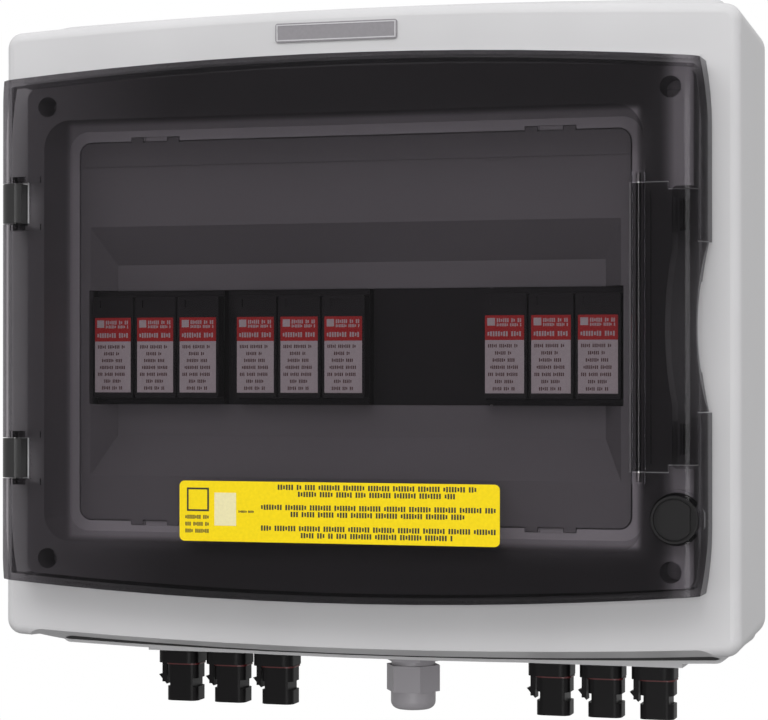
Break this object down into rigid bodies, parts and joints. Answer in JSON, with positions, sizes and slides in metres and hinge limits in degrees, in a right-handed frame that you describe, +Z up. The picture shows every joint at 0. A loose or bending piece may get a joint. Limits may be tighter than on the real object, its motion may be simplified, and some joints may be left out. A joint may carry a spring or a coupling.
{
  "type": "pv junction box",
  "caption": "Wall-mounted grey junction box with a smoked hinged door over plug-in surge arresters, with plug-in string inlets and a cable gland below.",
  "frame": {"origin": "centre of the back face, on the wall plane", "axes": "+X to the right seen from the front, +Y into the wall, +Z up"},
  "size_m": [0.2946, 0.1402, 0.2799],
  "materials": {
    "grey_housing": "fine matt texture",
    "device_black": "satin",
    "cartridge_black": "satin",
    "seal_rubber": "matt",
    "pale_grey_plastic": "satin",
    "mask_grey": "fine matt texture",
    "plated_steel": "zinc plated",
    "hinge_smoke": "polished",
    "inlet_black": "satin",
    "ring_red": "satin",
    "tinned_copper": "tin plated",
    "gland_grey": "satin",
    "earth_brass": "satin",
    "plate_silver": "satin",
    "label_yellow": "satin film",
    "smoked_plastic": "clear smoked, polished"
  },
  "bodies": {
    "enclosure": {"base_box": "grey_housing", "cover_seal": "seal_rubber", "front_cover": "grey_housing", "cover_screws": "pale_grey_plastic", "device_mask": "mask_grey", "din_rail": "plated_steel", "rail_screws": "plated_steel", "hinge_block_upper": "hinge_smoke", "hinge_block_lower": "hinge_smoke", "hinge_pin_upper": "plated_steel", "hinge_pin_lower": "plated_steel", "string_seals": "seal_rubber", "string_rings": "ring_red", "string_nuts": "inlet_black", "string_contacts": "tinned_copper", "gland_body": "gland_grey", "gland_dome_nut": "gland_grey", "gland_seal": "seal_rubber", "gland_locknut": "gland_grey", "earth_bar": "earth_brass", "earth_bar_screws": "plated_steel", "name_plate": "plate_silver", "arrester_base_1": "device_black", "arrester_cartridge_1_1": "cartridge_black", "arrester_cartridge_1_2": "cartridge_black", "arrester_cartridge_1_3": "cartridge_black", "arrester_base_2": "device_black", "arrester_cartridge_2_1": "cartridge_black", "arrester_cartridge_2_2": "cartridge_black", "arrester_cartridge_2_3": "cartridge_black", "arrester_base_3": "device_black", "arrester_cartridge_3_1": "cartridge_black", "arrester_cartridge_3_2": "cartridge_black", "arrester_cartridge_3_3": "cartridge_black", "blanking_strip_narrow": "device_black", "blanking_strip_wide": "device_black", "string_inlet_1": "inlet_black", "string_inlet_2": "inlet_black", "string_inlet_3": "inlet_black", "string_inlet_4": "inlet_black", "string_inlet_5": "inlet_black", "string_inlet_6": "inlet_black"},
    "door": {"door": "smoked_plastic", "lock_plug": "pale_grey_plastic", "door_label": "label_yellow", "latch_handle_pin": "plated_steel"},
    "handle": {"latch_handle": "smoked_plastic"}
  },
  "joints": [
    {"name": "door_hinge", "type": "hinge", "parent": "enclosure", "child": "door", "pos_m": [-0.1375, -0.1324, 0], "axis": [0, 0, -1], "range_deg": [0, 120]},
    {"name": "latch_pivot", "type": "hinge", "parent": "door", "child": "handle", "pos_m": [0.1123, -0.1363, 0.0008], "axis": [0, 0, -1], "range_deg": [0, 30]}
  ]
}
